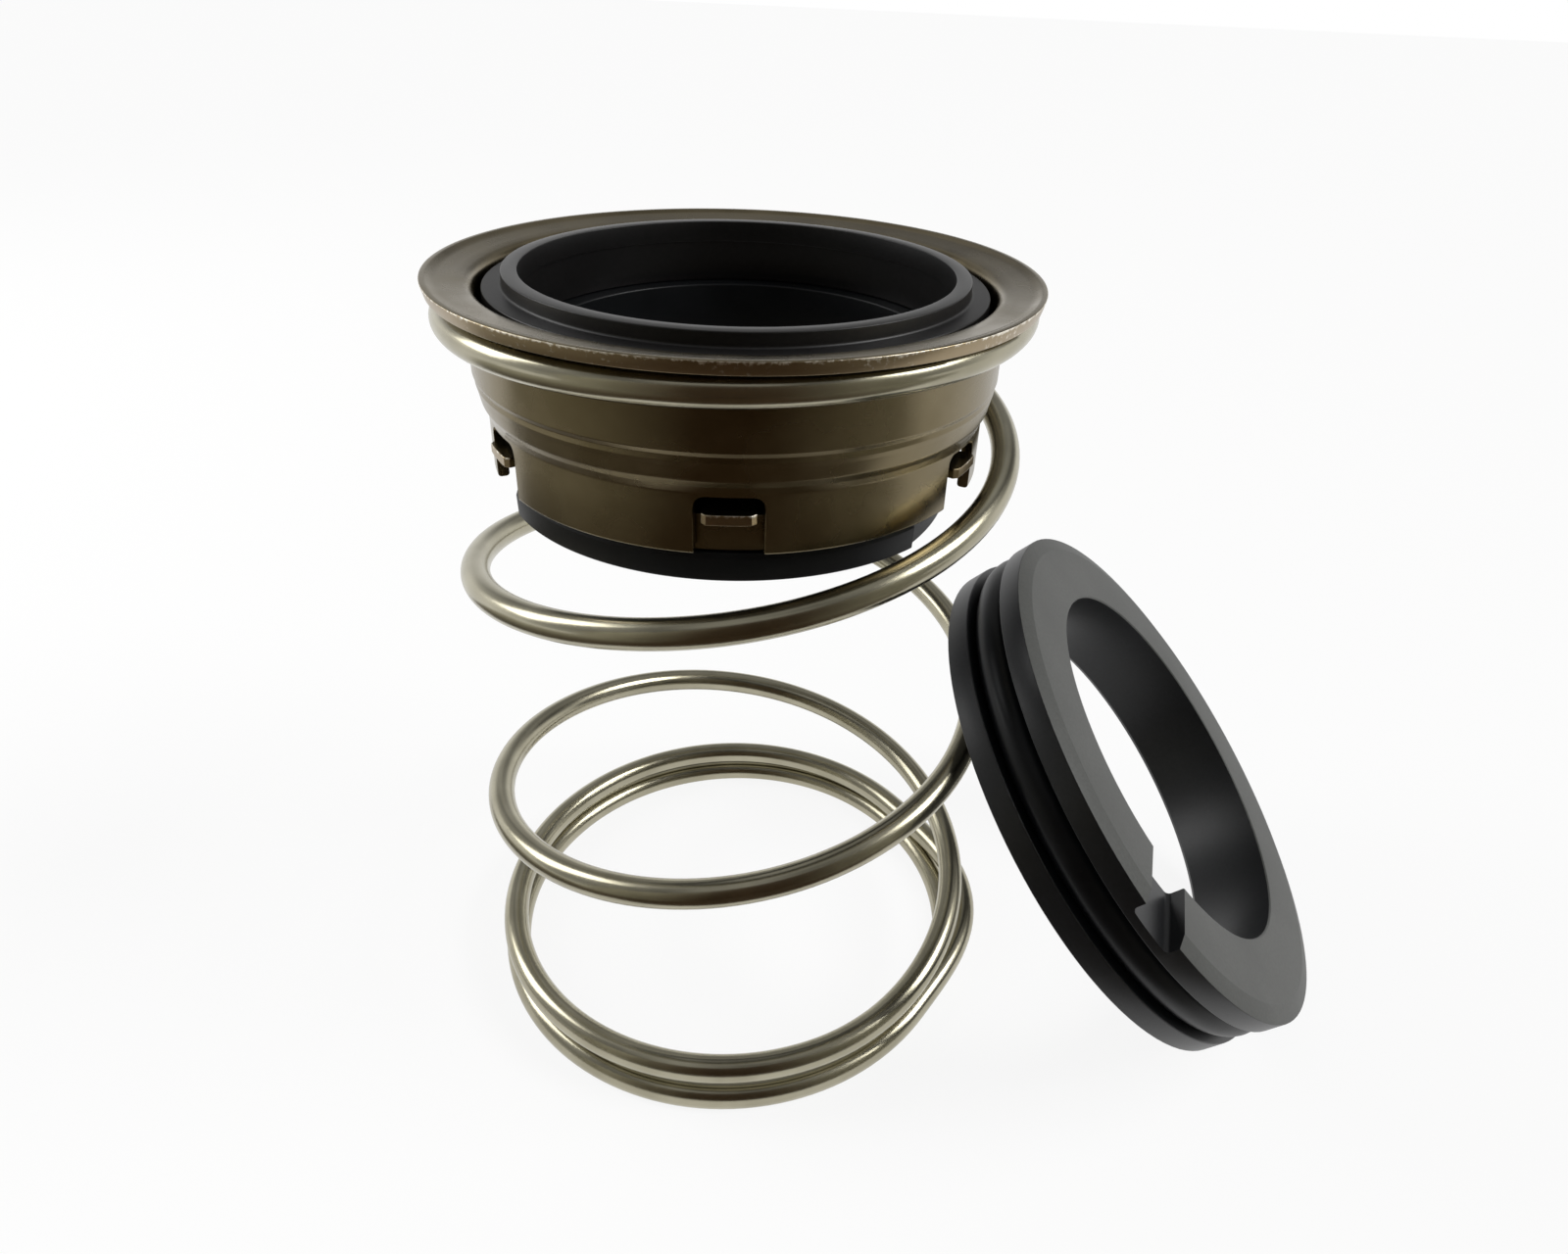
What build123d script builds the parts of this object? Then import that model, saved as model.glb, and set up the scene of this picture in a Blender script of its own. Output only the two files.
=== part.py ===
from build123d import *
import os
from math import cos, radians, sin

# Component mechanical seal for a 35 mm shaft: the rotary head standing on its own coil spring, and the
# stationary seat leaning on the coils with its lower edge on the bench.
# Millimetres, +Z up. The origin is the centre of the spring's foot, on the bench.

# Overall
SHAFT_R = 17.5  # the boot grips a 35 mm shaft
HEAD_TOP = 79.2  # rim of the retainer above the bench
FRONT_SLOT = -91.8  # direction of the first drive slot, degrees round +Z
SLOTS = 6

# Retainer shell, drawn from one millimetre sheet (heights below the rim are negative)
RIM_R = 27.5
RIM_CUT_R = 27.18  # lower corner of the sheared rim
RIM_CUT = -1.17
DISH_R = 24.95  # where the dished flange starts to roll down
DISH = -0.5
UNDERSIDE = -1.41
NECK_R = 24.15
NECK_BORE_R = 23.22
BEAD_R = 23.86  # small ridge below the neck
BEAD = -9.15
SKIRT_R = 22.87
SKIRT_BORE_R = 21.87
SKIRT_TOP = -12.1
SKIRT_END = -17.44
SLOT_W = 5.6
SLOT_TOP = -12.39
SLOT_ROUND = 0.9

# Rotary face ring, lapped on its nose
FACE_BORE_R = 19.5
NOSE_R = 20.9
NOSE_TOP = 0.1
SHOULDER_R = 22.6
SHOULDER = -1.2
FACE_RELIEF = -1.95  # faint step in the bore
COUNTERBORE_R = 21.05
COUNTERBORE = -6.1
FACE_END = -11.1

# Drive ring, pressed from sheet: a band inside the skirt with a bent tab in each slot and a turned-out
# foot over each full side of the boot's tail
DRIVE_T = 0.92
DRIVE_R = 20.3
BAND_TOP = -15.4
DRIVE_END = -17.6
TAB_TOP = -13.66
TAB_R = 23.4
TAB_ARC = 10.9  # degrees
DRIVE_FOOT_R = 21.65
DRIVE_FOOT_T = 0.7
DRIVE_FOOT_ARC = 90
FRONT_FOOT = -99.5  # direction of the front foot, midway between the tail's flattened sides

# Rubber boot
BOOT_TOP = -6.15
BOOT_HEAD_R = 20.9
BOOT_HEAD_END = -10.9
BOOT_WALL_R = 19.1
BOOT_FOLD_R = 20.6
BOOT_FOLD = -12.1
BOOT_TAIL_R = 22.05
BOOT_TAIL_TOP = -17.7
BOOT_END = -20.3
GRIP_TOP = -14.6  # the bore grips the shaft from here down
TAIL_SIDE_R = 27.5  # the two flattened sides of the tail are arcs of this radius,
TAIL_SIDE_SHIFT = 7.2  # struck from points this far beyond the axis
TAIL_SIDE_ARC = 74
TAIL_SIDES = (-10.0, -189.0)  # the way each flattened side looks, degrees round +Z

# Coil spring, closed and ground at both ends
WIRE_D = 2.7
COIL_R = 25.65
SPRING_H = 77.72
UPPER_TIP = 155.0  # direction of the upper wire end, degrees round +Z
UPPER_PITCH = WIRE_D + 0.12  # the closed turn at the top
EASE_ARC = 30  # from closed pitch to open pitch
OPEN_ARC = 885
PITCH_TAPER = 0.065  # the upper coils stand a little wider than the lower ones
LOWER_PITCH = 2.7
LOWER_ARC = 240
STEP_DOWN_ARC = 60  # where the wire starts down past its own end,
STEP_DOWN_PITCH = 9.0  # as steeply as this, on to the bench
FOOT_ARC = 300  # the lowest turn, flat on the bench
FOOT_PITCH = 1.3  # so that the grinding thins it towards its end
FOOT_HEIGHT = 0.108  # centre of the wire at its lower end
SWING = 2.2  # on its way down the wire swings out past its own lower end,
SWING_START = 15  # from this far into the step down,
SWING_ARC = 75  # and back in
STEP = 15

# Stationary seat, leaning back on the spring
SEAT_CENTRE = (48.2, -5.11, 27.23)
SEAT_TURN = -17.0  # the way its lapped face looks, degrees round +Z
SEAT_LEAN = 42.35  # and above the horizon
SEAT_BORE_R = 19.95
SEAT_FACE_R = 26.33
SEAT_R = 28.1
SEAT_CHAMFER = 0.5
GROOVE_R = 23.7
GROOVE_FROM = -2.9
GROOVE_TO = -7.08
SEAT_BACK_R = 28.05
SEAT_T = 9.6
NOTCH_W = 5.3
NOTCH_DEPTH = 1.9
NOTCH_AT = 173.5  # degrees round the seat's own axis
NOTCH_ROUND = 0.5
O_RING_R = 25.8
O_RING_SECTION_R = 2.07


def turned(corners, rounds=(), arc=360, start=0.0):
    """Turn a closed outline of (radius, height) corners about Z, rounding the corners named in rounds."""
    with BuildSketch(Plane.XZ) as outline:
        Polygon(*corners, align=None)
        for corner, radius in rounds:
            fillet(outline.vertices().sort_by_distance(corner)[0], radius)
    return Rot(Z=start) * revolve(outline.sketch, axis=Axis.Z, revolution_arc=arc)


def spaced_round(shape, count, start):
    """Copies of a shape spread evenly round Z."""
    return [Rot(Z=start + turn * 360 / count) * shape for turn in range(count)]


def slot_cutter():
    """Cutter for one slot of the skirt: open below, with rounded upper corners."""
    depth = 4 * (SKIRT_R - SKIRT_BORE_R)
    height = SLOT_TOP - SKIRT_END + 1
    cutter = Box(depth, SLOT_W, height)
    cutter = fillet(cutter.edges().filter_by(Axis.X).group_by(Axis.Z)[-1], SLOT_ROUND)
    return Pos(SKIRT_R, 0, SLOT_TOP - height / 2) * cutter


def retainer_shell():
    """Sheet shell: dished flange, neck, small ridge, and a skirt with six open slots."""
    neck_top = (NECK_R, UNDERSIDE)
    neck_lip = (NECK_BORE_R, -0.75)
    edge = (SKIRT_R, SKIRT_END)
    bore_edge = (SKIRT_BORE_R, SKIRT_END)
    shell = turned(
        [
            (RIM_R, 0),
            (RIM_CUT_R, RIM_CUT),
            (25.6, UNDERSIDE),
            neck_top,
            (24.04, -8.25),
            (23.82, -8.7),
            (BEAD_R, BEAD),
            (23.74, -9.6),
            (23.5, -10.8),
            (23.2, -11.4),
            (22.95, SKIRT_TOP),
            edge,
            bore_edge,
            (21.97, -12.4),
            (22.3, -11.6),
            (22.78, -10.7),
            (22.98, -9.5),
            (23.12, -8.4),
            neck_lip,
            (DISH_R, DISH),
        ],
        rounds=[(neck_top, 0.15), (neck_lip, 1.5), (edge, 0.3), (bore_edge, 0.3)],
    )
    return shell - spaced_round(slot_cutter(), SLOTS, FRONT_SLOT)


def rotary_face_ring():
    """Hard face ring with a narrow lapped nose, counterbored behind for the head of the boot."""
    return turned(
        [
            (FACE_BORE_R, NOSE_TOP),
            (NOSE_R, NOSE_TOP),
            (NOSE_R, SHOULDER),
            (SHOULDER_R, SHOULDER),
            (SHOULDER_R, FACE_END + 0.7),
            (SHOULDER_R - 0.45, FACE_END),
            (COUNTERBORE_R, FACE_END),
            (COUNTERBORE_R, COUNTERBORE),
            (FACE_BORE_R + 0.12, COUNTERBORE),
            (FACE_BORE_R + 0.12, FACE_RELIEF),
            (FACE_BORE_R, FACE_RELIEF),
        ]
    )


def drive_tab():
    """One tab: a narrow strip rising from the band, then bent outward through a slot of the skirt."""
    bore = DRIVE_R - DRIVE_T
    elbow = (bore, TAB_TOP)
    inner_elbow = (DRIVE_R, TAB_TOP - DRIVE_T)
    return turned(
        [
            (bore, BAND_TOP - DRIVE_T),
            elbow,
            (TAB_R, TAB_TOP),
            (TAB_R, TAB_TOP - DRIVE_T),
            inner_elbow,
            (DRIVE_R, BAND_TOP - DRIVE_T),
        ],
        rounds=[(elbow, 0.9), (inner_elbow, 0.25)],
        arc=TAB_ARC,
        start=-TAB_ARC / 2,
    )


def drive_foot():
    """One foot: the lower edge of the band turned out flat over the boot's tail."""
    root = DRIVE_R - DRIVE_T / 2
    top = DRIVE_END + DRIVE_FOOT_T
    rim = (DRIVE_FOOT_R, top)
    return turned(
        [(root, DRIVE_END), (DRIVE_FOOT_R, DRIVE_END), rim, (root, top)],
        rounds=[(rim, 0.25)],
        arc=DRIVE_FOOT_ARC,
        start=-DRIVE_FOOT_ARC / 2,
    )


def drive_ring():
    """Plain band round the boot, with six tabs on its upper edge and two feet on its lower one."""
    band = turned(
        [
            (DRIVE_R - DRIVE_T, DRIVE_END),
            (DRIVE_R, DRIVE_END),
            (DRIVE_R, BAND_TOP),
            (DRIVE_R - DRIVE_T, BAND_TOP),
        ]
    )
    return band + spaced_round(drive_tab(), SLOTS, FRONT_SLOT) + spaced_round(drive_foot(), 2, FRONT_FOOT)


def tail_side_cutter():
    """Cutter for one flattened side of the boot's tail: all that lies outside a shifted arc, within its sector."""
    height = BOOT_TAIL_TOP - BOOT_END + 2
    middle = Pos(0, 0, (BOOT_TAIL_TOP + BOOT_END) / 2)
    sector = turned(
        [(0, BOOT_TAIL_TOP), (2 * BOOT_TAIL_R, BOOT_TAIL_TOP), (2 * BOOT_TAIL_R, BOOT_END - 1), (0, BOOT_END - 1)],
        arc=TAIL_SIDE_ARC,
        start=-TAIL_SIDE_ARC / 2,
    )
    return sector - middle * Pos(-TAIL_SIDE_SHIFT, 0, 0) * Cylinder(TAIL_SIDE_R, height)


def rubber_boot():
    """Moulded boot: head in the face ring, one fold, and a thick tail flattened on two sides."""
    wall_bore = SHAFT_R + 0.4
    fold_top = (BOOT_FOLD_R, BOOT_FOLD)
    fold_bore = (BOOT_FOLD_R - 1.4, BOOT_FOLD)
    boot = turned(
        [
            (wall_bore, BOOT_TOP),
            (BOOT_HEAD_R, BOOT_TOP),
            (BOOT_HEAD_R, BOOT_HEAD_END),
            (BOOT_WALL_R, BOOT_HEAD_END - 0.2),
            fold_top,
            (BOOT_WALL_R, TAB_TOP + 0.5),
            (BOOT_WALL_R, BOOT_TAIL_TOP),
            (BOOT_TAIL_R - 0.15, BOOT_TAIL_TOP),
            (BOOT_TAIL_R, BOOT_TAIL_TOP - 0.5),
            (BOOT_TAIL_R - 0.1, BOOT_END),
            (SHAFT_R, BOOT_END),
            (SHAFT_R, GRIP_TOP),
            fold_bore,
            (wall_bore, BOOT_HEAD_END),
        ],
        rounds=[(fold_top, 0.5), (fold_bore, 0.6)],
    )
    return boot - [Rot(Z=side) * tail_side_cutter() for side in TAIL_SIDES]


def drop(stretches):
    """Height lost along (arc, pitch at its start, pitch at its end) stretches."""
    return sum(arc * (pitch_from + pitch_to) / 720 for arc, pitch_from, pitch_to in stretches)


def spring_stretches():
    """The wire from its upper end down, as (arc, pitch at its start, pitch at its end)."""
    half_step = STEP_DOWN_ARC / 2
    foot = [
        (LOWER_ARC, LOWER_PITCH, LOWER_PITCH),
        (STEP_DOWN_ARC, LOWER_PITCH, STEP_DOWN_PITCH),
        (half_step, STEP_DOWN_PITCH, STEP_DOWN_PITCH),
        (half_step, STEP_DOWN_PITCH, FOOT_PITCH),
        (FOOT_ARC, FOOT_PITCH, FOOT_PITCH),
    ]
    upper_turn = (360, UPPER_PITCH, UPPER_PITCH)
    eases = (EASE_ARC, UPPER_PITCH, LOWER_PITCH)
    open_drop = SPRING_H + WIRE_D / 4 - FOOT_HEIGHT - drop([upper_turn, eases, *foot])
    open_pitch = open_drop * 360 / (OPEN_ARC + EASE_ARC)
    wide, narrow = open_pitch * (1 + PITCH_TAPER), open_pitch * (1 - PITCH_TAPER)
    coils = [(EASE_ARC, UPPER_PITCH, wide), (OPEN_ARC, wide, narrow), (EASE_ARC, narrow, LOWER_PITCH)]
    return [upper_turn, *coils, *foot]


def spring_centreline():
    """Points down the wire from the upper end; above the foot it swings out past its own lower end."""
    stretches = spring_stretches()
    to_swing = sum(arc for arc, _, _ in stretches) - FOOT_ARC - 2 * STEP_DOWN_ARC + SWING_START
    height = SPRING_H + WIRE_D / 4
    turned_by = 0
    points = [(COIL_R * cos(radians(UPPER_TIP)), COIL_R * sin(radians(UPPER_TIP)), height)]
    for arc, pitch_from, pitch_to in stretches:
        steps = round(arc / STEP)
        for step in range(steps):
            pitch = pitch_from + (pitch_to - pitch_from) * (step + 0.5) / steps
            turned_by += STEP
            height -= pitch * STEP / 360
            swing = 180 * min(max(0, turned_by - to_swing) / SWING_ARC, 1)
            radius = COIL_R + SWING * sin(radians(swing)) ** 2
            angle = radians(UPPER_TIP - turned_by)
            points.append((radius * cos(angle), radius * sin(angle), height))
    return points


def spring():
    """Round wire along the centreline, both ends ground flat."""
    path = Spline(*spring_centreline())
    end = Plane(origin=path @ 0, x_dir=(0, 0, 1), z_dir=path % 0)
    wire = sweep(end * Circle(WIRE_D / 2), path=path)
    between_flats = Pos(0, 0, SPRING_H / 2) * Box(3 * COIL_R, 3 * COIL_R, SPRING_H)
    return wire & between_flats


def seat_position():
    """The seat's own frame: origin in its lapped face, Z along its axis and out of that face."""
    turn, lean = radians(SEAT_TURN), radians(SEAT_LEAN)
    outward = (cos(lean) * cos(turn), cos(lean) * sin(turn), sin(lean))
    return Plane(origin=SEAT_CENTRE, x_dir=(-sin(turn), cos(turn), 0), z_dir=outward).location


def seat_ring():
    """Stationary seat with a square groove for its O-ring and one notch across the lapped face."""
    seat = turned(
        [
            (SEAT_BORE_R + 0.15, 0),
            (SEAT_FACE_R, 0),
            (SEAT_R, -SEAT_CHAMFER),
            (SEAT_R, GROOVE_FROM),
            (GROOVE_R, GROOVE_FROM),
            (GROOVE_R, GROOVE_TO),
            (SEAT_BACK_R, GROOVE_TO),
            (SEAT_BACK_R, -SEAT_T + 0.1),
            (SEAT_BACK_R - 0.1, -SEAT_T),
            (SEAT_BORE_R + 0.4, -SEAT_T),
            (SEAT_BORE_R, -SEAT_T + 0.4),
            (SEAT_BORE_R, -0.15),
        ]
    )
    length = SEAT_R - SEAT_BORE_R + 4
    cutter = Box(length, NOTCH_W, 2 * NOTCH_DEPTH)
    cutter = fillet(cutter.edges().filter_by(Axis.X).group_by(Axis.Z)[0], NOTCH_ROUND)
    notch = Rot(Z=NOTCH_AT) * Pos((SEAT_BORE_R + SEAT_R) / 2, 0, 0) * cutter
    return seat_position() * (seat - notch)


def seat_o_ring():
    """Rubber ring seated in the groove of the seat."""
    middle = (GROOVE_FROM + GROOVE_TO) / 2
    return seat_position() * Pos(0, 0, middle) * Torus(O_RING_R, O_RING_SECTION_R)


os.makedirs("parts", exist_ok=True)
head = Pos(0, 0, HEAD_TOP)
export_step(head * retainer_shell(), "parts/retainer_shell.step")
export_step(head * rotary_face_ring(), "parts/rotary_face_ring.step")
export_step(head * drive_ring(), "parts/drive_ring.step")
export_step(head * rubber_boot(), "parts/rubber_boot.step")
export_step(spring(), "parts/spring.step")
export_step(seat_ring(), "parts/seat_ring.step")
export_step(seat_o_ring(), "parts/seat_o_ring.step")
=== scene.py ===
import math

import bmesh
import bpy
from bpy.props import FloatProperty, FloatVectorProperty, IntProperty, PointerProperty, StringProperty
from mathutils import Matrix, Vector


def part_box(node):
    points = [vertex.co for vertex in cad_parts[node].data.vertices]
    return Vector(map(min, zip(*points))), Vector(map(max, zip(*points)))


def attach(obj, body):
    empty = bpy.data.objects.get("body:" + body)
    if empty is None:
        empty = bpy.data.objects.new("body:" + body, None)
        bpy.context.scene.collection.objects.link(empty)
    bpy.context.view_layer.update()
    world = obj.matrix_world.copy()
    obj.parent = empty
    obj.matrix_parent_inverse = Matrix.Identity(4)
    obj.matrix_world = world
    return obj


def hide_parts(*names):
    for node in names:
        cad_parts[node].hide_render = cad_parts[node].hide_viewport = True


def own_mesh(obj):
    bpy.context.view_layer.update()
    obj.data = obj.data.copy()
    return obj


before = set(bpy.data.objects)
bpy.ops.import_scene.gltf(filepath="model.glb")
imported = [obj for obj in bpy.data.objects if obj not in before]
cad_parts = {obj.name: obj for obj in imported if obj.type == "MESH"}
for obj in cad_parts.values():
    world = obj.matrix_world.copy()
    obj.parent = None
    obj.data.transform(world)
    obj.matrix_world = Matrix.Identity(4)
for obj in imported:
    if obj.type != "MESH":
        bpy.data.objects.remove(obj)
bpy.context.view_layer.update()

bl_info = {
    "name": "Component Mechanical Seal",
    "version": (1, 0, 0),
    "blender": (4, 5, 0),
    "location": "3D View > Sidebar > Shaft Seal",
    "description": "Builds a spring-loaded shaft seal: steel head, rubber boot, coil spring and leaning seat",
    "category": "Add Mesh",
}

MM = 0.001
RIM_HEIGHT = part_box("retainer_shell")[1].z  # rim of the retainer; the head's sections are measured from it


# ---------------------------------------------------------------- sizes and colours


def length(name, description, default):
    return FloatProperty(name=name, description=description, default=default, unit="LENGTH", precision=5)


def turn(name, description, degrees):
    return FloatProperty(name=name, description=description, default=math.radians(degrees), unit="ROTATION")


def colour(name, description, default):
    return StringProperty(name=name, description=description + ", as an sRGB hex value", default=default)


class HeadSizes(bpy.types.PropertyGroup):
    """Retainer shell, face ring, drive ring and boot."""

    rim_radius: length("Rim Radius", "Outer radius of the sheared rim", 0.0275)
    neck_radius: length("Neck Radius", "Outer radius of the shell under the flange", 0.02415)
    skirt_radius: length("Skirt Radius", "Outer radius of the slotted skirt", 0.02287)
    skirt_drop: length("Skirt Drop", "Height of the shell from rim to lower edge", 0.01744)
    slot_count: IntProperty(name="Slots", description="Number of drive slots", default=6, min=2, max=12)
    first_slot: turn("First Slot", "Direction of the front slot round the axis", -91.8)
    slot_width: length("Slot Width", "Width of one drive slot", 0.0056)
    slot_top: length("Slot Top", "Drop from the rim to the top of the slots", 0.01239)
    slot_round: length("Slot Rounding", "Radius of the slots' upper corners", 0.0009)
    face_bore: length("Face Bore", "Bore radius of the rotary face ring", 0.0195)
    nose_radius: length("Nose Radius", "Outer radius of the lapped nose", 0.0209)
    shoulder_radius: length("Shoulder Radius", "Outer radius of the face ring", 0.0226)
    band_radius: length("Band Radius", "Outer radius of the drive ring's band", 0.0203)
    strip: length("Strip Thickness", "Sheet thickness of the drive ring", 0.00092)
    tab_reach: length("Tab Reach", "Radius that the drive tabs reach", 0.0234)
    tab_arc: turn("Tab Arc", "Width of one drive tab, as an angle", 10.9)
    foot_reach: length("Foot Reach", "Radius of the drive ring's turned-out feet", 0.02165)
    foot_span: turn("Foot Span", "Arc of one foot of the drive ring", 90)
    front_foot: turn("Front Foot", "Direction of the drive ring's front foot", -99.5)
    shaft_radius: length("Shaft Radius", "Bore radius of the boot's tail", 0.0175)
    tail_radius: length("Tail Radius", "Outer radius of the boot's tail", 0.02205)


class SpringSizes(bpy.types.PropertyGroup):
    """Coil spring, closed and ground at both ends."""

    wire: length("Wire", "Diameter of the wire", 0.0027)
    coil_radius: length("Coil Radius", "Mean radius of the coils", 0.02565)
    height: length("Free Height", "Height between the two ground ends", 0.07772)
    upper_tip: turn("Upper Tip", "Direction of the upper wire end", 155)
    upper_pitch: length("Upper Pitch", "Rise of the closed turn at the top", 0.00282)
    ease_arc: turn("Ease Arc", "Angle over which the pitch opens", 30)
    open_arc: turn("Open Arc", "Angle wound open between the ends", 885)
    taper: FloatProperty(
        name="Pitch Taper", description="Share by which the upper coils are opener", default=0.065
    )
    lower_pitch: length("Lower Pitch", "Rise of the closed coil near the foot", 0.0027)
    lower_arc: turn("Lower Arc", "Angle wound closed near the foot", 240)
    step_arc: turn("Step-Down Arc", "Angle over which the wire steepens towards the foot", 60)
    step_pitch: length("Step-Down Pitch", "Steepest pitch on the way to the foot", 0.009)
    foot_arc: turn("Foot Arc", "Angle of the lowest turn", 300)
    foot_pitch: length("Foot Pitch", "Rise of the lowest turn, thinned by grinding", 0.0013)
    foot_height: length("Foot Height", "Height of the wire's centre at its lower end", 0.000108)
    swing: length("Swing", "How far the wire swings out past its own lower end on the way down", 0.0022)
    swing_start: turn("Swing Start", "Angle from the start of the step down to the swing", 15)
    swing_arc: turn("Swing Arc", "Angle over which the wire swings out and back", 75)
    step: turn("Step", "Angle between two sections of the wire", 2.5)
    sides: IntProperty(name="Sides", description="Facets round the wire", default=32, min=8, max=64)


class SeatSizes(bpy.types.PropertyGroup):
    """Stationary seat and its O-ring."""

    centre: FloatVectorProperty(
        name="Centre",
        description="Centre of the lapped face",
        default=(0.0482, -0.00511, 0.02723),
        unit="LENGTH",
    )
    turn: turn("Turn", "Direction in which the lapped face looks, round the axis", -17.0)
    lean: turn("Lean", "How far above the horizon the lapped face looks", 42.35)
    bore: length("Bore", "Bore radius", 0.01995)
    face_radius: length("Face Radius", "Radius where the face meets its chamfer", 0.02633)
    radius: length("Radius", "Outer radius in front of the groove", 0.0281)
    thickness: length("Thickness", "Length of the seat along its axis", 0.0096)
    groove_radius: length("Groove Radius", "Radius of the groove's floor", 0.0237)
    groove_front: length("Groove Front", "Distance from the face to the groove", 0.0029)
    groove_end: length("Groove End", "Distance from the face to the groove's far side", 0.00708)
    back_radius: length("Back Radius", "Outer radius behind the groove", 0.02805)
    notch_width: length("Notch Width", "Width of the notch across the face", 0.0053)
    notch_depth: length("Notch Depth", "Depth of the notch", 0.0019)
    notch_at: turn("Notch Direction", "Direction of the notch round the seat's own axis", 173.5)
    ring_radius: length("O-Ring Radius", "Mean radius of the O-ring", 0.0258)
    ring_section: length("O-Ring Section", "Radius of the O-ring's section", 0.00207)


class SealColours(bpy.types.PropertyGroup):
    """Colours of the finishes."""

    shell: colour("Shell", "Deep-drawn stainless sheet", "#91866c")
    shell_dark: colour("Shell Shade", "Darker patches of the drawn sheet", "#63583f")
    sheared: colour("Sheared Edge", "Sheared edges of the sheet", "#9d8d72")
    # partly painted highlight: real burnish specks, and near-white specks painted along the upper edge
    burnished: colour("Burnished Edge", "Burnished specks on the sheared edges", "#efe9dc")
    wire: colour("Wire", "Drawn stainless wire", "#bcb7a2")
    wire_dark: colour("Wire Shade", "Darker stretches of the wire", "#8f8a76")
    face_ring: colour("Face Ring", "Dark silicon carbide", "#131212")
    face_ring_dark: colour("Face Ring Shade", "Darker grains of the face ring", "#0a0909")
    nose: colour("Nose", "Lapped silicon carbide", "#1b1a18")
    nose_dark: colour("Nose Shade", "Darker grains of the lapped nose", "#131211")
    seat: colour("Seat", "Ground face of the grey silicon carbide seat", "#4b4c49")
    seat_dark: colour("Seat Shade", "Darker grains of the seat's face", "#40413e")
    seat_side: colour("Seat Side", "Fired outer surface of the seat", "#16181b")
    seat_side_dark: colour("Seat Side Shade", "Darker grains of the seat's side", "#0d0e10")
    boot: colour("Boot", "Moulded nitrile rubber", "#050607")
    o_ring: colour("O-Ring", "Moulded O-ring rubber", "#050608")
    bloom: colour("Bloom", "Faint bloom on both rubbers", "#0e1013")
    floor: colour("Floor", "Pale bench", "#f6f6f5")
    # painted shade: the card's dark middle, seen only in reflections, stands in for shade on the metal
    card: colour("Card", "Dark card behind the camera", "#44321c")
    # painted light: the card's lighter sides grade the metal's painted reflection
    card_side_painted_light: colour("Card Side Painted Light", "Lighter sides of the card", "#a5a294")


class SealSettings(bpy.types.PropertyGroup):
    """All the sizes and colours of the seal."""

    head: PointerProperty(type=HeadSizes, name="Head", description="Sizes of the rotary head")
    spring: PointerProperty(type=SpringSizes, name="Spring", description="Sizes of the coil spring")
    seat: PointerProperty(type=SeatSizes, name="Seat", description="Sizes and place of the seat")
    colours: PointerProperty(type=SealColours, name="Colours", description="Colours of the finishes")


# ---------------------------------------------------------------- mesh helpers


def rounded(corners, steps=4):
    """Points of a closed section in millimetres, from corners (radius, height, rounding)."""
    points = []
    for i, (radius, height, bend) in enumerate(corners):
        here = Vector((radius, height))
        if bend <= 0:
            points.append(here)
            continue
        back = Vector(corners[i - 1][:2]) - here
        onward = Vector(corners[(i + 1) % len(corners)][:2]) - here
        half = back.angle(onward) / 2
        reach = min(bend / math.tan(half), 0.48 * back.length, 0.48 * onward.length)
        back.normalize()
        onward.normalize()
        centre = here + (back + onward).normalized() * reach / math.cos(half)
        first, last = here + back * reach - centre, here + onward * reach - centre
        swing = first.angle(last)
        for k in range(steps + 1):
            t = k / steps
            mix = first * math.sin((1 - t) * swing) + last * math.sin(t * swing)
            points.append(centre + mix / math.sin(swing))
    return points


def at(radius, angle, height):
    """Point in metres from a radius and height in millimetres and an angle in radians."""
    return Vector((radius * math.cos(angle), radius * math.sin(angle), height)) * MM


def even_angles(count, extra=()):
    """Angles of the columns of a turned piece, with a few more where it has an edge."""
    angles = [i * math.tau / count for i in range(count)] + list(extra)
    return sorted({round(angle % math.tau, 9) for angle in angles})


def skin(bm, loops):
    """Quads between neighbouring closed loops of points, and from the last loop back to the first."""
    rings = [[bm.verts.new(point) for point in loop] for loop in loops]
    for i, ring in enumerate(rings):
        before = rings[i - 1]
        for j in range(len(ring)):
            bm.faces.new((before[j - 1], before[j], ring[j], ring[j - 1]))
    return rings


def piece(bm, name, place=None, sharp=32):
    """A smooth-shaded object at the origin from a mesh, with its place in the mesh and its faces outward."""
    bmesh.ops.remove_doubles(bm, verts=bm.verts, dist=1e-6)
    bmesh.ops.dissolve_degenerate(bm, edges=bm.edges, dist=1e-7)
    if place is not None:
        bmesh.ops.transform(bm, matrix=place, verts=bm.verts)
    bmesh.ops.recalc_face_normals(bm, faces=bm.faces)
    mesh = bpy.data.meshes.new(name)
    bm.to_mesh(mesh)
    bm.free()
    if not mesh.polygons:
        raise RuntimeError(f"{name} has no faces")
    mesh.shade_smooth()
    mesh.set_sharp_from_angle(angle=math.radians(sharp))
    made = bpy.data.objects.new(name, mesh)
    bpy.context.scene.collection.objects.link(made)
    return made


def turned(name, section, angles, place=None, sharp=32):
    """A piece turned about Z from a closed section."""
    bm = bmesh.new()
    skin(bm, [[at(p.x, angle, p.y) for p in section] for angle in angles])
    return piece(bm, name, place, sharp)


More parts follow.
